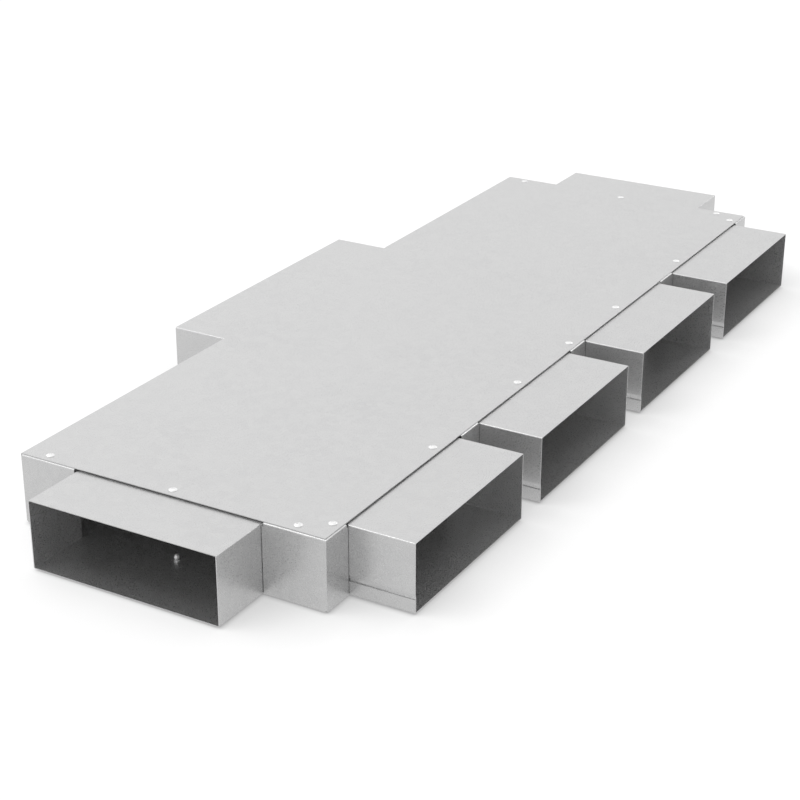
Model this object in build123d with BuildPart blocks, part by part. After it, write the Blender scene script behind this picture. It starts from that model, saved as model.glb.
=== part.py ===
"""Flat duct distribution box in folded galvanised sheet.

A shallow tray with a folded cover joins one wide trunk spigot to six branch spigots for flat
rectangular duct. X runs from the trunk spigot to the row of four branches, Y from front to
back and Z up. The origin is at the middle of the whole box, on the ground it lies on.
"""
from build123d import *
import math
import os

# Sheet and folds
sheet = 0.6
fold_radius = 1.0
fold_inner = fold_radius - sheet

# Box body
box_width = 250.0
box_length = 745.0
flange_width = 16.0
corner_tab = 15.0
lip_height = 9.0
relief_size = 1.4

# Ducts that the spigots take
branch_duct_width = 150.0
trunk_duct_width = 250.0
duct_height = 50.0
branch_gap = 29.0
right_branches = 4

# Spigots
spigot_reach = 49.5
tongue_length = 15.0
side_entry = 9.0
seam_height = 10.0
seam_gap = 0.25
butt_gap = 0.1
joggle_run = 4.0
joggle_radius = 2.0
lap_play = 0.1
root_flange = 6.0
root_flange_inset = 2.0

# Fits between the pieces
side_gap = 0.4
top_play = 0.4
cover_inset = 1.2
cover_foot_gap = 0.4
notch_size = 1.4
tongue_side_play = 0.5

# Blind rivets
rivet_edge_distance = 8.0
rivet_left_inset = 20.5
rivet_right_inset = 26.0
rivet_end_inset = 21.0
head_radius = 3.0
head_height = 1.0
head_rim = 0.3
head_crown_radius = 1.7
shank_radius = 1.6
hole_play = 0.05
tail_radius = 2.1
tail_length = 4.0
rivet_sides = 16

# Heights, from the ground up
floor_bottom = head_height
floor_top = floor_bottom + sheet
spigot_height = duct_height + 2 * sheet
spigot_top = floor_top + spigot_height
flange_bottom = spigot_top + top_play
flange_top = flange_bottom + sheet
lid_top = flange_top + sheet
tray_height = flange_top - floor_bottom

# Outer faces of the box and widths over the spigots
left_face = -box_width / 2
right_face = box_width / 2
front_face = -box_length / 2
back_face = box_length / 2
tray_left = left_face + sheet
branch_width = branch_duct_width + 2 * sheet
trunk_width = trunk_duct_width + 2 * sheet
branch_pitch = branch_width + branch_gap
hole_radius = shank_radius + hole_play

os.makedirs("parts", exist_ok=True)


def span(low, high):
    """Middle and length of a stretch."""
    return (low + high) / 2, high - low


def block(x, y, z, mode=Mode.ADD):
    """Block between two corners, each argument a (low, high) pair."""
    (x_mid, x_size), (y_mid, y_size), (z_mid, z_size) = span(*x), span(*y), span(*z)
    with Locations((x_mid, y_mid, z_mid)):
        Box(x_size, y_size, z_size, mode=mode)


# Where the spigots stand: name, middle of its root, outward direction, width over the sheet
branch_rows = [(i - (right_branches - 1) / 2) * branch_pitch for i in range(right_branches)]
spigots = [
    ("spigot_front", (0, front_face), (0, -1), branch_width),
    ("spigot_back", (0, back_face), (0, 1), branch_width),
    ("spigot_left", (left_face, 0), (-1, 0), trunk_width),
]
for number, row in enumerate(branch_rows, start=1):
    spigots.append((f"spigot_right_{number}", (right_face, row), (1, 0), branch_width))

# Where the rivets stand in plan, on the lid and under the floor
inner_rivet = branch_pitch / 2
end_rivet = box_length / 2 - rivet_end_inset
outer_rivet = (inner_rivet + end_rivet) / 2
row_x = right_face - rivet_edge_distance
end_row_x = (left_face + rivet_left_inset, 0, right_face - rivet_right_inset)
side_rows = (-end_rivet, -outer_rivet, -inner_rivet, 0, inner_rivet, outer_rivet, end_rivet)
front_row = [(x, front_face + rivet_edge_distance) for x in end_row_x]
back_row = [(x, back_face - rivet_edge_distance) for x in end_row_x]
lid_rivets = front_row + [(row_x, y) for y in side_rows] + back_row
base_rivets = [
    (0, front_face + rivet_edge_distance),
    (0, back_face - rivet_edge_distance),
    (left_face + rivet_edge_distance, 0),
]
base_rivets += [(row_x, y) for y in (-outer_rivet, -inner_rivet, inner_rivet, outer_rivet)]


def within(point, root, outward, width):
    """Whether a rivet goes through the tongues of a spigot."""
    along = abs((point[0] - root[0]) * outward[1] - (point[1] - root[1]) * outward[0])
    depth = (root[0] - point[0]) * outward[0] + (root[1] - point[1]) * outward[1]
    return along < width / 2 and 0 < depth < tongue_length


def spigot_holes(points):
    """Points that fall in the tongues of some spigot."""
    return [p for p in points if any(within(p, root, out, w) for _, root, out, w in spigots)]


# Tray: floor, three walls with top flanges, two corner tabs and a low lip on the trunk side
tray_mid = (tray_left + right_face) / 2
inner_front = front_face + flange_width
inner_back = back_face - flange_width
opening_top = flange_top + sheet

with BuildPart() as tray:
    with BuildSketch(Plane.XY.offset(floor_bottom)):
        with Locations((tray_mid, 0)):
            Rectangle(right_face - tray_left, box_length)
    extrude(amount=tray_height)
    fillet(tray.edges().filter_by(Axis.Z).group_by(Axis.X)[0], fold_radius)
    rims = tray.faces().sort_by(Axis.Z)
    fillet(rims[0].edges() + rims[-1].edges(), fold_radius)
    offset(amount=-sheet, mode=Mode.SUBTRACT)

    # Top window between the flanges, open towards the trunk side
    block(
        (left_face, right_face - flange_width),
        (inner_front, inner_back),
        (flange_bottom - fold_radius, opening_top),
        Mode.SUBTRACT,
    )
    # Low lip and corner tabs on the trunk side
    block(
        (left_face, tray_left + fold_radius),
        (front_face + corner_tab, back_face - corner_tab),
        (floor_bottom + lip_height, opening_top),
        Mode.SUBTRACT,
    )
    for side in (-1, 1):
        tab_edge = side * (box_length / 2 - corner_tab)
        block(
            (left_face, tray_left + fold_radius),
            sorted((tab_edge, tab_edge - side * fold_radius)),
            (floor_bottom, opening_top),
            Mode.SUBTRACT,
        )
    # The corner tabs carry no flange at their tops
    block(
        (left_face, tray_left + fold_radius),
        (front_face, back_face),
        (flange_top - fold_radius, opening_top),
        Mode.SUBTRACT,
    )

    # Openings for the spigots: the wall and both its folds are cut away, and the flange runs on
    for name, root, outward, width in spigots:
        half = width / 2 + side_gap
        notch_half = half + notch_size
        notch_depth = fold_radius + notch_size
        for half_cut, depth, low in (
            (half, fold_radius, floor_bottom),
            (notch_half, notch_depth, flange_top - notch_depth),
        ):
            if outward[0]:
                face_x = tray_left if outward[0] < 0 else right_face
                cut_x = sorted((face_x + outward[0], face_x - outward[0] * depth))
                cut_y = (root[1] - half_cut, root[1] + half_cut)
            else:
                cut_x = (root[0] - half_cut, root[0] + half_cut)
                cut_y = sorted((root[1] + outward[1], root[1] - outward[1] * depth))
            block(cut_x, cut_y, (low, opening_top), Mode.SUBTRACT)

    # Small square reliefs where two bottom folds meet
    with GridLocations(right_face - tray_left, box_length, 2, 2):
        with Locations((tray_mid, 0, floor_bottom)):
            Box(2 * relief_size, 2 * relief_size, 2 * relief_size, mode=Mode.SUBTRACT)

    # Rivet holes in the flanges and in the floor
    with BuildSketch(Plane.XY.offset(flange_top)):
        with Locations(*lid_rivets):
            RegularPolygon(hole_radius, rivet_sides)
    extrude(amount=-2 * sheet, mode=Mode.SUBTRACT)
    with BuildSketch(Plane.XY.offset(floor_top)):
        with Locations(*base_rivets):
            RegularPolygon(hole_radius, rivet_sides)
    extrude(amount=-2 * sheet, mode=Mode.SUBTRACT)


# Cover: the lid and, folded down from it, the wall on the trunk side
cover_half = box_length / 2 - cover_inset
with BuildPart() as cover:
    with BuildSketch(Plane.XZ.offset(-cover_half)):
        with BuildLine():
            FilletPolyline(
                (right_face - cover_inset, lid_top),
                (left_face, lid_top),
                (left_face, floor_bottom + cover_foot_gap),
                radius=fold_radius,
            )
            offset(amount=sheet, side=Side.LEFT)
        make_face()
    extrude(amount=2 * cover_half)
    trunk_half = trunk_width / 2 + side_gap
    block(
        (left_face - sheet, left_face + fold_radius),
        (-trunk_half, trunk_half),
        (floor_bottom, lid_top + sheet),
        Mode.SUBTRACT,
    )
    with BuildSketch(Plane.XY.offset(lid_top)):
        with Locations(*lid_rivets):
            RegularPolygon(hole_radius, rivet_sides)
    extrude(amount=-2 * sheet, mode=Mode.SUBTRACT)


def make_spigot(root, outward, width, lapped):
    """One folded tube, lapped at one side or butted underneath, with tongues and a root flange."""
    half = width / 2
    out = Vector(outward[0], outward[1], 0)
    across = Vector(-outward[1], outward[0], 0)
    foot = Vector(root[0], root[1], floor_top)
    through = Plane(foot - out * tongue_length, x_dir=across, z_dir=out)
    lap_inset = sheet + lap_play
    lap_start = seam_height + seam_gap
    lap_top = lap_start + 2 * joggle_run
    flange_reach = half + root_flange
    with BuildPart() as spigot:
        with BuildSketch(through):
            if lapped:
                # The tube wraps once round, and its last side steps inwards behind the seam tab
                with BuildLine():
                    FilletPolyline(
                        (-half, seam_height),
                        (-half, 0),
                        (half, 0),
                        (half, spigot_height),
                        (-half, spigot_height),
                        (-half, lap_top),
                        radius=fold_radius,
                    )
                    offset(amount=sheet, side=Side.LEFT)
                make_face()
                with BuildLine():
                    FilletPolyline(
                        (-half, lap_top),
                        (-half, lap_start + joggle_run),
                        (-half + lap_inset, lap_start),
                        (-half + lap_inset, lap_inset),
                        radius=joggle_radius,
                    )
                    offset(amount=sheet, side=Side.LEFT)
                make_face()
            else:
                # The tube wraps once round, and its two edges meet in its floor
                with Locations((0, spigot_height / 2)):
                    RectangleRounded(width, spigot_height, fold_radius)
                    RectangleRounded(
                        width - 2 * sheet,
                        spigot_height - 2 * sheet,
                        fold_inner,
                        mode=Mode.SUBTRACT,
                    )
                with Locations((-half / 2, 0)):
                    Rectangle(butt_gap, 2 * sheet, mode=Mode.SUBTRACT)
        extrude(amount=tongue_length + spigot_reach)

        # Inside the box only the tongues go on, each a little narrower than the tube
        side_high = spigot_height + sheet
        lip = fold_radius + tongue_side_play
        for low_side, high_side, stop in (
            (-half - sheet, -half + lip, -sheet),
            (half - lip, half + sheet, -side_entry),
        ):
            with BuildSketch(through):
                with Locations(((low_side + high_side) / 2, spigot_height / 2)):
                    Rectangle(high_side - low_side, 2 * side_high)
            extrude(amount=tongue_length + stop, mode=Mode.SUBTRACT)

        # Narrow flange on one side, bent outwards behind the wall of the box
        wall_back = sheet + lap_play
        flange_low = lap_top + root_flange_inset
        flange_high = spigot_height - root_flange_inset
        with BuildSketch(Plane(foot + Vector(0, 0, flange_low), x_dir=across, z_dir=(0, 0, 1))):
            with BuildLine():
                FilletPolyline(
                    (-half, 0),
                    (-half, wall_back),
                    (-flange_reach, wall_back),
                    radius=fold_inner,
                )
                offset(amount=sheet, side=Side.RIGHT)
            make_face()
        extrude(amount=flange_high - flange_low)

        # Rivet holes through both tongues
        with BuildSketch(Plane.XY.offset(floor_top - sheet)):
            with Locations(*[p for p in lid_rivets + base_rivets if within(p, root, outward, width)]):
                RegularPolygon(hole_radius, rivet_sides)
        extrude(amount=spigot_height + 2 * sheet, mode=Mode.SUBTRACT)
    return spigot


def make_rivet(point, seat, grip, facing):
    """Blind rivet: low crowned head, shank, and the bulb that was drawn up behind the sheets."""
    crown_height = head_height - head_rim
    crown_taper = math.degrees(math.atan2(head_radius - head_crown_radius, crown_height))
    with BuildPart() as upright:
        with BuildSketch():
            RegularPolygon(head_radius, rivet_sides)
        extrude(amount=head_rim)
        with BuildSketch(Plane.XY.offset(head_rim)):
            RegularPolygon(head_radius, rivet_sides)
        extrude(amount=crown_height, taper=crown_taper)
        with BuildSketch():
            RegularPolygon(shank_radius, rivet_sides)
        extrude(amount=-grip)
        with BuildSketch(Plane.XY.offset(-grip)):
            RegularPolygon(tail_radius, rivet_sides)
        extrude(amount=-tail_length)
    with BuildPart() as rivet:
        with Locations(Plane((point[0], point[1], seat), x_dir=(1, 0, 0), z_dir=(0, 0, facing))):
            add(upright.part)
    return rivet


def write(piece, name):
    """Label a finished piece and write it out."""
    piece.part.label = name
    export_step(piece.part, f"parts/{name}.step")


write(tray, "tray")
write(cover, "cover")
for name, root, outward, width in spigots:
    write(make_spigot(root, outward, width, outward[0] > 0), name)

over_spigot = spigot_holes(lid_rivets)
through_tongue = lid_top - spigot_top + sheet
for number, point in enumerate(lid_rivets, start=1):
    lid_grip = through_tongue if point in over_spigot else 2 * sheet
    write(make_rivet(point, lid_top, lid_grip, 1), f"lid_rivet_{number}")
for number, point in enumerate(base_rivets, start=1):
    write(make_rivet(point, floor_bottom, 2 * sheet, -1), f"base_rivet_{number}")
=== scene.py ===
"""Dresses the duct distribution box: zinc-coated sheet, blind rivets and the studio round it."""

import math

import bmesh
import bpy
from bpy.props import FloatProperty, FloatVectorProperty, IntProperty, PointerProperty
from bpy.types import Operator, Panel, PropertyGroup
from mathutils import Matrix, Vector


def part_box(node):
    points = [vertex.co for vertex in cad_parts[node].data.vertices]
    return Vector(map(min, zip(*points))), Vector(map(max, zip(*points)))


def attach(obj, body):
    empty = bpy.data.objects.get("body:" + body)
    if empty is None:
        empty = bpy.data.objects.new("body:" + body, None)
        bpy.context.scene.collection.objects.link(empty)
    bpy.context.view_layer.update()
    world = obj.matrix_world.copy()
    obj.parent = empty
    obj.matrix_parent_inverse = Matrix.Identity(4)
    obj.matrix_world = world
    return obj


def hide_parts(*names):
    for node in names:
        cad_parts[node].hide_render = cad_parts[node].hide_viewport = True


bl_info = {
    "name": "Duct Distribution Box",
    "version": (1, 0, 0),
    "blender": (4, 5, 0),
    "location": "View3D > Sidebar > Duct Box",
    "description": "Zinc-coated sheet, blind rivets and a studio for a duct distribution box",
    "category": "Object",
}

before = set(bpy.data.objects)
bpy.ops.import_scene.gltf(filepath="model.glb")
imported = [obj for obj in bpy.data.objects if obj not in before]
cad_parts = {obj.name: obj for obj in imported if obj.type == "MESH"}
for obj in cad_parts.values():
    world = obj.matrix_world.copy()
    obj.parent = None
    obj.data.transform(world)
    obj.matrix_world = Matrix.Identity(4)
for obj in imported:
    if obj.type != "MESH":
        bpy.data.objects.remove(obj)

SPIGOTS = sorted(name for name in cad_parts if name.startswith("spigot"))
LID_RIVETS = sorted(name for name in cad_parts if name.startswith("lid_rivet"))
BASE_RIVETS = sorted(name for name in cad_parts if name.startswith("base_rivet"))

RIVET_LOW, RIVET_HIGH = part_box(LID_RIVETS[0])
LID_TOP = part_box("cover")[1].z
RIVET_HEAD_RADIUS = (RIVET_HIGH.x - RIVET_LOW.x) / 2
RIVET_HEAD_HEIGHT = RIVET_HIGH.z - LID_TOP


class ZincSheetSettings(PropertyGroup):
    """Colour and surface of the zinc-coated sheet."""

    colour: FloatVectorProperty(
        name="Zinc colour",
        description="Colour of the zinc where it is clean",
        subtype="COLOR",
        size=4,
        min=0,
        max=1,
        default=(0.55, 0.55, 0.55, 1),
    )
    dull_colour: FloatVectorProperty(
        name="Dull colour",
        description="Colour of the zinc in its duller crystals and patches",
        subtype="COLOR",
        size=4,
        min=0,
        max=1,
        default=(0.508, 0.508, 0.511, 1),
    )
    bright_roughness: FloatProperty(
        name="Bright grain roughness",
        description="How much the brightest grains blur what they reflect",
        subtype="FACTOR",
        min=0.05,
        max=1,
        default=0.22,
    )
    dull_roughness: FloatProperty(
        name="Dull grain roughness",
        description="How much the dullest grains blur what they reflect",
        subtype="FACTOR",
        min=0.05,
        max=1,
        default=0.5,
    )
    grain_size: FloatProperty(
        name="Grain size",
        description="Width of the fine grain in the zinc",
        subtype="DISTANCE",
        unit="LENGTH",
        min=0.0002,
        max=0.01,
        default=0.0008,
    )
    crystal_size: FloatProperty(
        name="Crystal size",
        description="Width of one zinc crystal",
        subtype="DISTANCE",
        unit="LENGTH",
        min=0.001,
        max=0.05,
        default=0.006,
    )
    rolling_relief: FloatProperty(
        name="Rolling relief",
        description="Strength of the fine lines that rolling left along the sheet",
        subtype="FACTOR",
        min=0,
        max=1,
        default=0.05,
    )


class RivetSettings(PropertyGroup):
    """Sizes of the blind rivets."""

    head_radius: FloatProperty(
        name="Head radius",
        description="Radius of the domed head",
        subtype="DISTANCE",
        unit="LENGTH",
        min=0.001,
        max=0.01,
        default=RIVET_HEAD_RADIUS,
    )
    head_height: FloatProperty(
        name="Head height",
        description="Height of the domed head over the sheet",
        subtype="DISTANCE",
        unit="LENGTH",
        min=0.0003,
        max=0.004,
        default=RIVET_HEAD_HEIGHT,
    )
    mandrel_radius: FloatProperty(
        name="Mandrel radius",
        description="Radius of the broken mandrel in the middle of the head",
        subtype="DISTANCE",
        unit="LENGTH",
        min=0.0003,
        max=0.002,
        default=0.0009,
    )
    shank_radius: FloatProperty(
        name="Shank radius",
        description="Radius of the shank through the sheets",
        subtype="DISTANCE",
        unit="LENGTH",
        min=0.0005,
        max=0.004,
        default=0.0016,
    )
    bulb_radius: FloatProperty(
        name="Bulb radius",
        description="Radius of the bulb that the set rivet forms behind the sheets",
        subtype="DISTANCE",
        unit="LENGTH",
        min=0.0005,
        max=0.006,
        default=0.0021,
    )
    bulb_length: FloatProperty(
        name="Bulb length",
        description="Length of the bulb behind the sheets",
        subtype="DISTANCE",
        unit="LENGTH",
        min=0.001,
        max=0.01,
        default=0.004,
    )
    sides: IntProperty(
        name="Sides",
        description="Number of faces round a rivet",
        min=12,
        max=64,
        default=32,
    )
    colour: FloatVectorProperty(
        name="Rivet colour",
        description="Colour of the rivet metal",
        subtype="COLOR",
        size=4,
        min=0,
        max=1,
        default=(0.8, 0.8, 0.8, 1),
    )


class StudioSettings(PropertyGroup):
    """Floor, light and camera."""

    floor_radius: FloatProperty(
        name="Floor radius",
        description="Radius of the round floor",
        subtype="DISTANCE",
        unit="LENGTH",
        min=1,
        max=50,
        default=12,
    )
    floor_colour: FloatVectorProperty(
        name="Floor colour",
        description="Colour of the floor",
        subtype="COLOR",
        size=4,
        min=0,
        max=1,
        default=(0.35, 0.35, 0.35, 1),
    )
    floor_glow: FloatProperty(
        name="Floor glow",
        description="Brightness that the floor has of its own, beside the light that falls on it",
        subtype="FACTOR",
        min=0,
        max=1,
        default=0.62,
    )
    contact_reach: FloatProperty(
        name="Contact reach",
        description="How far from the object the dark line at its foot ends",
        subtype="DISTANCE",
        unit="LENGTH",
        min=0,
        max=1,
        default=0.004,
    )
    contact_shade: FloatProperty(
        name="Contact shade",
        description="Share of the floor's glow that is lost in the line at the object's foot",
        subtype="FACTOR",
        min=0,
        max=1,
        default=0.55,
    )
    shadow_side: FloatVectorProperty(
        name="Shadow side",
        description="Direction that the soft shadow on the floor points away from",
        subtype="XYZ",
        size=3,
        default=(-0.6, -0.7, 0.4),
    )
    shadow_reach: FloatProperty(
        name="Shadow reach",
        description="How far from the object the soft shadow on the floor ends",
        subtype="DISTANCE",
        unit="LENGTH",
        min=0,
        max=1,
        default=0.07,
    )
    shadow_shade: FloatProperty(
        name="Shadow shade",
        description="Share of the floor's glow that is lost in the depth of the soft shadow",
        subtype="FACTOR",
        min=0,
        max=1,
        default=0.57,
    )
    horizon_strength: FloatProperty(
        name="Horizon strength",
        description="Brightness of the white surroundings at the horizon",
        min=0,
        max=4,
        default=1.0,
    )
    ceiling_strength: FloatProperty(
        name="Ceiling strength",
        description="Brightness of the white surroundings overhead",
        min=0,
        max=4,
        default=1.18,
    )
    bright_side: FloatVectorProperty(
        name="Bright side",
        description="Direction in which the surroundings are brighter; its length is how much",
        subtype="XYZ",
        size=3,
        default=(-0.22, -0.12, 0),
    )
    softbox_power: FloatProperty(
        name="Softbox power",
        description="Power of each softbox over the object",
        subtype="POWER",
        unit="POWER",
        min=0,
        max=1000,
        default=5,
    )
    softbox_size: FloatProperty(
        name="Softbox size",
        description="Side of each square softbox",
        subtype="DISTANCE",
        unit="LENGTH",
        min=0.1,
        max=10,
        default=0.6,
    )
    front_softbox: FloatVectorProperty(
        name="Front softbox",
        description="Where the softbox hangs that the folds along X catch",
        subtype="XYZ",
        unit="LENGTH",
        size=3,
        default=(-0.95, -0.95, 1.7),
    )
    back_softbox: FloatVectorProperty(
        name="Back softbox",
        description="Where the softbox hangs that the folds along Y catch",
        subtype="XYZ",
        unit="LENGTH",
        size=3,
        default=(0.8, 1.8, 1.15),
    )
    camera_place: FloatVectorProperty(
        name="Camera place",
        description="Where the camera stands",
        subtype="XYZ",
        unit="LENGTH",
        size=3,
        default=(0.67834, -1.23374, 0.60748),
    )
    camera_turn: FloatProperty(
        name="Camera turn",
        description="Turn of the camera about the vertical",
        subtype="ANGLE",
        unit="ROTATION",
        default=math.radians(30.118),
    )
    camera_drop: FloatProperty(
        name="Camera drop",
        description="How far the camera looks down from the horizon",
        subtype="ANGLE",
        unit="ROTATION",
        default=math.radians(24.065),
    )
    camera_roll: FloatProperty(
        name="Camera roll",
        description="Turn of the camera about its own line of sight",
        subtype="ANGLE",
        unit="ROTATION",
        default=math.radians(0.003),
    )
    lens: FloatProperty(
        name="Lens",
        description="Focal length on a 36 mm wide sensor",
        subtype="DISTANCE_CAMERA",
        unit="CAMERA",
        min=10,
        max=300,
        default=82.97,
    )


def start_alone():
    """Leaves edit mode and deselects everything."""
    if bpy.context.object and bpy.context.object.mode != "OBJECT":
        bpy.ops.object.mode_set(mode="OBJECT")
    bpy.ops.object.select_all(action="DESELECT")


def pick_faces(piece, wanted):
    """Selects the faces of the piece in edit mode that wanted() accepts."""
    bpy.ops.mesh.select_mode(type="FACE")
    bpy.ops.mesh.select_all(action="DESELECT")
    shape = bmesh.from_edit_mesh(piece.data)
    for face in shape.faces:
        face.select_set(wanted(face))
    shape.select_flush_mode()
    bmesh.update_edit_mesh(piece.data)


def end_face(piece, direction):
    """Selects the many-sided end face that looks up (1) or down (-1)."""
    nearly_level = 0.99
    pick_faces(
        piece,
        lambda face: len(face.verts) > 4 and face.normal.z * direction > nearly_level,
    )


def step_face(piece, direction, radius, next_radius, rise):
    """Extrudes the end face by the rise along Z and brings it from one radius to the next."""
    end_face(piece, direction)
    bpy.ops.mesh.extrude_region_move(TRANSFORM_OT_translate={"value": (0, 0, rise)})
    change = next_radius / radius
    bpy.ops.transform.resize(value=(change, change, 1), center_override=(0, 0, 0))


def material_nodes(name):
    """Makes a node material and gives it with its node tree and its shader."""
    material = bpy.data.materials.new(name)
    material.use_nodes = True
    return material, material.node_tree, material.node_tree.nodes["Principled BSDF"]


def add_node(tree, kind, **settings):
    """Adds a node to the tree with the settings and socket values given by name.

    An underscore in the name of a socket stands for a space.
    """
    node = tree.nodes.new(kind)
    for name, value in settings.items():
        if name in node.bl_rna.properties:
            setattr(node, name, value)
        else:
            node.inputs[name.replace("_", " ")].default_value = value
    return node


def zinc_sheet(name, settings, rolling_axis):
    """Zinc-coated sheet: faint crystals, dull patches, a fine grain and rolling lines."""
    patches_per_metre = 14
    brightest_grain = 0.35
    dullest_grain = 0.65
    lines_per_metre_across = 400.0
    lines_per_metre_along = 6.0
    line_depth = 0.0001
    bare_metal_share = 0.87

    material, tree, shader = material_nodes(name)
    link = tree.links.new
    place = add_node(tree, "ShaderNodeTexCoord")

    crystals = add_node(
        tree, "ShaderNodeTexVoronoi", Scale=1 / settings.crystal_size, Randomness=1
    )
    link(place.outputs["Object"], crystals.inputs["Vector"])
    crystal_tone = add_node(tree, "ShaderNodeSeparateColor")
    link(crystals.outputs["Color"], crystal_tone.inputs["Color"])
    patches = add_node(
        tree, "ShaderNodeTexNoise", Scale=patches_per_metre, Detail=3, Roughness=0.5
    )
    link(place.outputs["Object"], patches.inputs["Vector"])
    dullness = add_node(tree, "ShaderNodeMath", operation="MULTIPLY")
    link(crystal_tone.outputs["Red"], dullness.inputs[0])
    link(patches.outputs["Fac"], dullness.inputs[1])
    tones = add_node(tree, "ShaderNodeValToRGB")
    tones.color_ramp.elements[0].color = settings.colour
    tones.color_ramp.elements[1].color = settings.dull_colour
    link(dullness.outputs["Value"], tones.inputs["Fac"])
    link(tones.outputs["Color"], shader.inputs["Base Color"])

    grain = add_node(
        tree, "ShaderNodeTexNoise", Scale=1 / settings.grain_size, Detail=2, Roughness=0.6
    )
    link(place.outputs["Object"], grain.inputs["Vector"])
    gloss = add_node(
        tree,
        "ShaderNodeMapRange",
        From_Min=brightest_grain,
        From_Max=dullest_grain,
        To_Min=settings.bright_roughness,
        To_Max=settings.dull_roughness,
    )
    link(grain.outputs["Fac"], gloss.inputs["Value"])
    link(gloss.outputs["Result"], shader.inputs["Roughness"])

    stretch = [lines_per_metre_across] * 3
    stretch["XYZ".index(rolling_axis)] = lines_per_metre_along
    along = add_node(tree, "ShaderNodeMapping", vector_type="POINT", Scale=stretch)
    link(place.outputs["Object"], along.inputs["Vector"])
    lines = add_node(tree, "ShaderNodeTexNoise", Scale=1, Detail=2, Roughness=0.6)
    link(along.outputs["Vector"], lines.inputs["Vector"])
    relief = add_node(
        tree, "ShaderNodeBump", Strength=settings.rolling_relief, Distance=line_depth
    )
    link(lines.outputs["Fac"], relief.inputs["Height"])
    link(relief.outputs["Normal"], shader.inputs["Normal"])

    shader.inputs["Metallic"].default_value = bare_metal_share
    return material


def rivet_metal(settings):
    """Satin aluminium with a fine grain."""
    grains_per_metre = 900
    bright_roughness = 0.36
    dull_roughness = 0.5

    material, tree, shader = material_nodes("satin_aluminium")
    link = tree.links.new
    place = add_node(tree, "ShaderNodeTexCoord")
    grain = add_node(
        tree, "ShaderNodeTexNoise", Scale=grains_per_metre, Detail=3, Roughness=0.6
    )
    link(place.outputs["Object"], grain.inputs["Vector"])
    gloss = add_node(
        tree, "ShaderNodeMapRange", To_Min=bright_roughness, To_Max=dull_roughness
    )
    link(grain.outputs["Fac"], gloss.inputs["Value"])
    link(gloss.outputs["Result"], shader.inputs["Roughness"])
    shader.inputs["Base Color"].default_value = settings.colour
    shader.inputs["Metallic"].default_value = 1.0
    return material


def dress(node_name, material):
    """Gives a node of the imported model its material."""
    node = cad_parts[node_name]
    if not node.material_slots:
        raise RuntimeError(f"{node_name} has no material slot")
    for material_slot in node.material_slots:
        material_slot.material = material


def model_rivet(settings, length):
    """Models a set blind rivet of that length, head up, with its seat at the origin's height."""
    brim = settings.head_height * 0.3
    dome = settings.head_height - brim
    dome_rings = 5
    crown_radius = settings.mandrel_radius * 1.35
    recess_radius = crown_radius * 0.92
    recess = settings.head_height * 0.35
    stub_radius = settings.mandrel_radius * 0.75
    stub = recess * 0.6
    grip = length - settings.head_height - settings.bulb_length
    swelling = settings.bulb_length * 0.2
    belly = settings.bulb_length * 0.25
    taper = settings.bulb_length * 0.35
    neck = settings.bulb_length * 0.1
    tip = settings.bulb_length * 0.05
    smooth_angle = math.radians(38)

    start_alone()
    bpy.ops.mesh.primitive_cylinder_add(
        vertices=settings.sides,
        radius=settings.head_radius,
        depth=brim,
        location=(0, 0, brim / 2),
        end_fill_type="NGON",
    )
    piece = bpy.context.object
    bpy.ops.object.transform_apply(location=True, rotation=False, scale=False)
    bpy.ops.object.mode_set(mode="EDIT")

    # The dome closes in on the crown, and the mandrel's stub stands in a recess there.
    reached_radius = settings.head_radius
    reached_height = 0.0
    for ring in range(1, dome_rings + 1):
        share = ring / dome_rings
        radius = settings.head_radius + (crown_radius - settings.head_radius) * share
        height = dome * math.sin(share * math.pi / 2)
        step_face(piece, 1, reached_radius, radius, height - reached_height)
        reached_radius = radius
        reached_height = height
    step_face(piece, 1, crown_radius, recess_radius, -recess)
    step_face(piece, 1, recess_radius, settings.mandrel_radius, 0)
    step_face(piece, 1, settings.mandrel_radius, stub_radius, stub)

    # Below the seat come the shank through the sheets, the bulb and the mandrel's end.
    step_face(piece, -1, settings.head_radius, settings.shank_radius, 0)
    stations = (
        (settings.shank_radius, grip),
        (settings.bulb_radius, swelling),
        (settings.bulb_radius, belly),
        (settings.shank_radius, taper),
        (settings.shank_radius, neck),
        (settings.mandrel_radius, tip),
        (settings.mandrel_radius, tip),
    )
    radius = settings.shank_radius
    for next_radius, step in stations:
        step_face(piece, -1, radius, next_radius, -step)
        radius = next_radius

    bpy.ops.mesh.select_all(action="SELECT")
    bpy.ops.mesh.normals_make_consistent(inside=False)
    bpy.ops.object.mode_set(mode="OBJECT")
    bpy.ops.object.shade_smooth_by_angle(angle=smooth_angle)
    return piece


def set_rivets(settings, nodes, head_up, material):
    """Puts a rivet where each of the nodes is."""
    masters = {}
    for node_name in nodes:
        low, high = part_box(node_name)
        length = round(high.z - low.z, 6)
        if length not in masters:
            masters[length] = model_rivet(settings, length)
        start_alone()
        master = masters[length]
        master.select_set(True)
        bpy.context.view_layer.objects.active = master
        bpy.ops.object.duplicate(linked=False)
        piece = bpy.context.object
        piece.name = f"{node_name}_set"
        piece.data.name = piece.name
        piece.data.materials.clear()
        piece.data.materials.append(material)
        if head_up:
            seat = high.z - settings.head_height
        else:
            bpy.ops.transform.rotate(value=math.pi, orient_axis="X", center_override=(0, 0, 0))
            seat = low.z + settings.head_height
        piece.location = ((low.x + high.x) / 2, (low.y + high.y) / 2, seat)
        bpy.ops.object.transform_apply(location=True, rotation=True, scale=True)
        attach(piece, "root")
        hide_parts(node_name)
    for master in masters.values():
        bpy.data.objects.remove(master)


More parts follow.
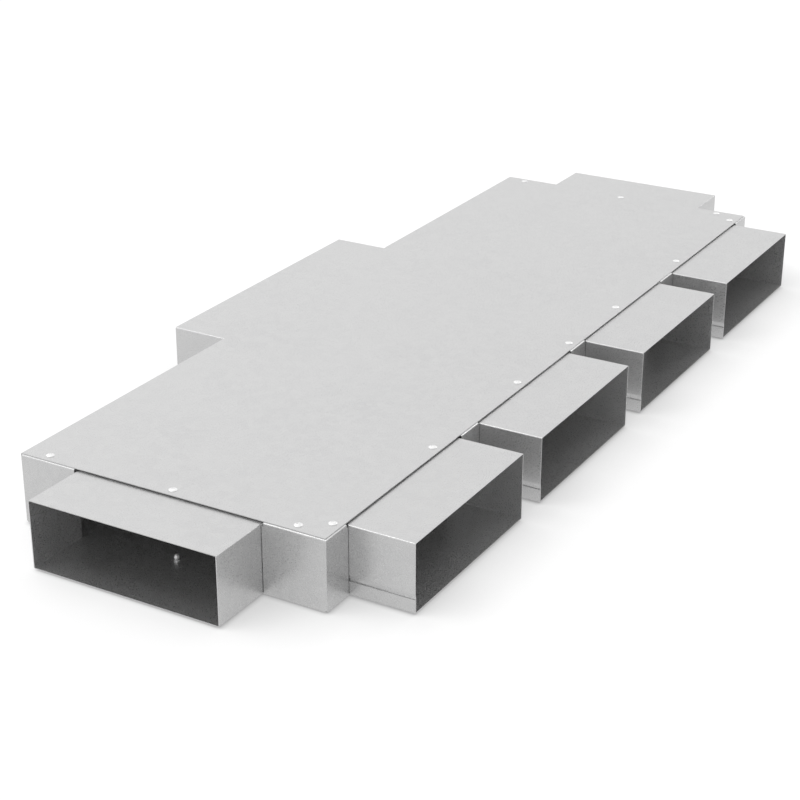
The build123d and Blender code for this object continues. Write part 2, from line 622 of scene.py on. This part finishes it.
class DUCTBOX_OT_tray(Operator):
    """Finish the tray in zinc-coated sheet"""

    bl_idname = "ductbox.tray"
    bl_label = "Tray"

    def execute(self, context):
        dress("tray", zinc_sheet("zinc_tray", context.scene.ductbox_sheet, "Y"))
        return {"FINISHED"}


class DUCTBOX_OT_cover(Operator):
    """Finish the cover in zinc-coated sheet"""

    bl_idname = "ductbox.cover"
    bl_label = "Cover"

    def execute(self, context):
        dress("cover", zinc_sheet("zinc_cover", context.scene.ductbox_sheet, "Y"))
        return {"FINISHED"}


class DUCTBOX_OT_spigots(Operator):
    """Finish the seven spigots in zinc-coated sheet"""

    bl_idname = "ductbox.spigots"
    bl_label = "Spigots"

    def execute(self, context):
        sheet = context.scene.ductbox_sheet
        along_x = zinc_sheet("zinc_spigot_side", sheet, "Y")
        along_y = zinc_sheet("zinc_spigot_end", sheet, "X")
        for name in SPIGOTS:
            dress(name, along_y if name in ("spigot_front", "spigot_back") else along_x)
        return {"FINISHED"}


class DUCTBOX_OT_rivets(Operator):
    """Model the blind rivets of the lid and of the base"""

    bl_idname = "ductbox.rivets"
    bl_label = "Blind rivets"

    def execute(self, context):
        settings = context.scene.ductbox_rivets
        metal = rivet_metal(settings)
        set_rivets(settings, LID_RIVETS, True, metal)
        set_rivets(settings, BASE_RIVETS, False, metal)
        return {"FINISHED"}


class DUCTBOX_OT_stage(Operator):
    """Lay the floor, light it and set up the camera"""

    bl_idname = "ductbox.stage"
    bl_label = "Stage"

    def execute(self, context):
        studio = context.scene.ductbox_studio
        lay_floor(studio)
        light_sky(studio)
        hang_softbox(studio, "front_softbox", studio.front_softbox)
        hang_softbox(studio, "back_softbox", studio.back_softbox)
        place_camera(studio)
        context.scene.view_settings.view_transform = "Standard"
        return {"FINISHED"}


def seen_rays(tree):
    """A value of one for the rays that show a thing: camera, glossy and transmission rays."""
    path = add_node(tree, "ShaderNodeLightPath")
    camera_or_glossy = add_node(tree, "ShaderNodeMath", operation="MAXIMUM")
    tree.links.new(path.outputs["Is Camera Ray"], camera_or_glossy.inputs[0])
    tree.links.new(path.outputs["Is Glossy Ray"], camera_or_glossy.inputs[1])
    seen = add_node(tree, "ShaderNodeMath", operation="MAXIMUM")
    tree.links.new(camera_or_glossy.outputs["Value"], seen.inputs[0])
    tree.links.new(path.outputs["Is Transmission Ray"], seen.inputs[1])
    return seen.outputs["Value"]


def glow_strength(tree, studio):
    """Strength of the floor's glow, which the camera sees fade at the object's foot and shadow."""
    occlusion_samples = 16

    link = tree.links.new
    foot = add_node(
        tree,
        "ShaderNodeAmbientOcclusion",
        samples=occlusion_samples,
        Distance=studio.contact_reach,
    )
    glow = add_node(
        tree,
        "ShaderNodeMapRange",
        To_Min=studio.floor_glow * (1 - studio.contact_shade),
        To_Max=studio.floor_glow,
    )
    link(foot.outputs["AO"], glow.inputs["Value"])

    side = add_node(tree, "ShaderNodeVectorMath", operation="NORMALIZE")
    side.inputs[0].default_value = studio.shadow_side
    shadow = add_node(
        tree,
        "ShaderNodeAmbientOcclusion",
        samples=occlusion_samples,
        Distance=studio.shadow_reach,
    )
    link(side.outputs["Vector"], shadow.inputs["Normal"])
    kept_share = add_node(tree, "ShaderNodeMapRange", To_Min=1 - studio.shadow_shade)
    link(shadow.outputs["AO"], kept_share.inputs["Value"])
    shaded = add_node(tree, "ShaderNodeMath", operation="MULTIPLY")
    link(glow.outputs["Result"], shaded.inputs[0])
    link(kept_share.outputs["Result"], shaded.inputs[1])

    path = add_node(tree, "ShaderNodeLightPath")
    strength = add_node(tree, "ShaderNodeMix", data_type="FLOAT", A=studio.floor_glow)
    link(path.outputs["Is Camera Ray"], strength.inputs["Factor"])
    link(shaded.outputs["Value"], strength.inputs["B"])
    return strength.outputs["Result"]


def white_floor(studio):
    """Matt white that glows for the rays that show it and keeps the object's shadow."""
    material, tree, shader = material_nodes("white_floor")
    link = tree.links.new
    tree.nodes.remove(shader)
    matt = add_node(tree, "ShaderNodeBsdfDiffuse", Color=studio.floor_colour)
    white = add_node(tree, "ShaderNodeEmission", Color=(1, 1, 1, 1))
    link(glow_strength(tree, studio), white.inputs["Strength"])
    both = add_node(tree, "ShaderNodeAddShader")
    link(matt.outputs["BSDF"], both.inputs[0])
    link(white.outputs["Emission"], both.inputs[1])
    choice = add_node(tree, "ShaderNodeMixShader")
    link(seen_rays(tree), choice.inputs["Fac"])
    link(matt.outputs["BSDF"], choice.inputs[1])
    link(both.outputs["Shader"], choice.inputs[2])
    link(choice.outputs["Shader"], tree.nodes["Material Output"].inputs["Surface"])
    return material


def lay_floor(studio):
    """Lays a round white floor: a disc with a ring round it."""
    floor_sides = 96
    disc_share = 0.5
    ring_growth = 1 / disc_share

    start_alone()
    bpy.ops.mesh.primitive_circle_add(
        vertices=floor_sides,
        radius=studio.floor_radius * disc_share,
        fill_type="NGON",
        location=(0, 0, 0),
    )
    floor = bpy.context.object
    floor.name = "floor"
    bpy.ops.object.mode_set(mode="EDIT")
    bpy.ops.mesh.select_mode(type="EDGE")
    bpy.ops.mesh.select_all(action="DESELECT")
    shape = bmesh.from_edit_mesh(floor.data)
    for edge in shape.edges:
        edge.select_set(True)
    bmesh.update_edit_mesh(floor.data)
    bpy.ops.mesh.extrude_edges_move(TRANSFORM_OT_translate={"value": (0, 0, 0)})
    bpy.ops.transform.resize(value=(ring_growth, ring_growth, 1), center_override=(0, 0, 0))
    bpy.ops.object.mode_set(mode="OBJECT")
    floor.data.materials.append(white_floor(studio))


def light_sky(studio):
    """Surrounds the object with white light, a little brighter overhead and on one side."""
    ceiling_start = 0.4

    world = bpy.data.worlds.new("studio_sky")
    world.use_nodes = True
    tree = world.node_tree
    link = tree.links.new
    sky = tree.nodes["Background"]
    sky.inputs["Color"].default_value = (1, 1, 1, 1)
    direction = add_node(tree, "ShaderNodeTexCoord")
    parts = add_node(tree, "ShaderNodeSeparateXYZ")
    link(direction.outputs["Generated"], parts.inputs["Vector"])
    rise = add_node(
        tree,
        "ShaderNodeMapRange",
        interpolation_type="SMOOTHSTEP",
        From_Max=ceiling_start,
        To_Min=studio.horizon_strength,
        To_Max=studio.ceiling_strength,
    )
    link(parts.outputs["Z"], rise.inputs["Value"])
    side = add_node(tree, "ShaderNodeVectorMath", operation="DOT_PRODUCT")
    side.inputs[1].default_value = studio.bright_side
    link(direction.outputs["Generated"], side.inputs[0])
    strength = add_node(tree, "ShaderNodeMath", operation="ADD")
    link(rise.outputs["Result"], strength.inputs[0])
    link(side.outputs["Value"], strength.inputs[1])
    link(strength.outputs["Value"], sky.inputs["Strength"])
    bpy.context.scene.world = world


def hang_softbox(studio, name, place):
    """Hangs a softbox that faces the object, so that the folds catch it."""
    start_alone()
    facing = Vector(place).to_track_quat("Z", "Y").to_euler()
    bpy.ops.object.light_add(type="AREA", location=place, rotation=facing)
    softbox = bpy.context.object
    softbox.name = name
    softbox.data.shape = "SQUARE"
    softbox.data.size = studio.softbox_size
    softbox.data.energy = studio.softbox_power


def place_camera(studio):
    """Puts the camera where the object looks as it should and makes it the scene's own."""
    sensor_width = 36
    nearest_seen = 0.05
    farthest_seen = 60

    turn = Matrix.Rotation(studio.camera_turn, 3, "Z")
    tilt = Matrix.Rotation(math.radians(90) - studio.camera_drop, 3, "X")
    roll = Matrix.Rotation(studio.camera_roll, 3, "Z")
    start_alone()
    bpy.ops.object.camera_add(
        location=studio.camera_place, rotation=(turn @ tilt @ roll).to_euler()
    )
    camera = bpy.context.object
    camera.name = "camera"
    camera.data.sensor_width = sensor_width
    camera.data.lens = studio.lens
    camera.data.clip_start = nearest_seen
    camera.data.clip_end = farthest_seen
    bpy.context.scene.camera = camera


class DUCTBOX_PT_panel(Panel):
    """Lists the pieces of the duct distribution box"""

    bl_idname = "DUCTBOX_PT_panel"
    bl_label = "Duct Distribution Box"
    bl_space_type = "VIEW_3D"
    bl_region_type = "UI"
    bl_category = "Duct Box"

    def draw(self, context):
        layout = self.layout
        scene = context.scene
        sheet_pieces = (DUCTBOX_OT_tray, DUCTBOX_OT_cover, DUCTBOX_OT_spigots)
        groups = (
            ("Sheet", scene.ductbox_sheet, sheet_pieces),
            ("Rivets", scene.ductbox_rivets, (DUCTBOX_OT_rivets,)),
            ("Studio", scene.ductbox_studio, (DUCTBOX_OT_stage,)),
        )
        for title, settings, operators in groups:
            column = layout.box().column()
            column.label(text=title)
            for setting in settings.__annotations__:
                column.prop(settings, setting)
            for operator in operators:
                column.operator(operator.bl_idname)


CLASSES = (
    ZincSheetSettings,
    RivetSettings,
    StudioSettings,
    DUCTBOX_OT_tray,
    DUCTBOX_OT_cover,
    DUCTBOX_OT_spigots,
    DUCTBOX_OT_rivets,
    DUCTBOX_OT_stage,
    DUCTBOX_PT_panel,
)


def register():
    """Registers the classes and the settings they use."""
    for cls in CLASSES:
        bpy.utils.register_class(cls)
    bpy.types.Scene.ductbox_sheet = PointerProperty(type=ZincSheetSettings)
    bpy.types.Scene.ductbox_rivets = PointerProperty(type=RivetSettings)
    bpy.types.Scene.ductbox_studio = PointerProperty(type=StudioSettings)


def unregister():
    """Removes the settings and the classes."""
    del bpy.types.Scene.ductbox_studio
    del bpy.types.Scene.ductbox_rivets
    del bpy.types.Scene.ductbox_sheet
    for cls in reversed(CLASSES):
        bpy.utils.unregister_class(cls)


def main():
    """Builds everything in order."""
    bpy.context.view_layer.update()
    register()
    bpy.ops.ductbox.tray()
    bpy.ops.ductbox.cover()
    bpy.ops.ductbox.spigots()
    bpy.ops.ductbox.rivets()
    bpy.ops.ductbox.stage()


if __name__ == "__main__":
    main()
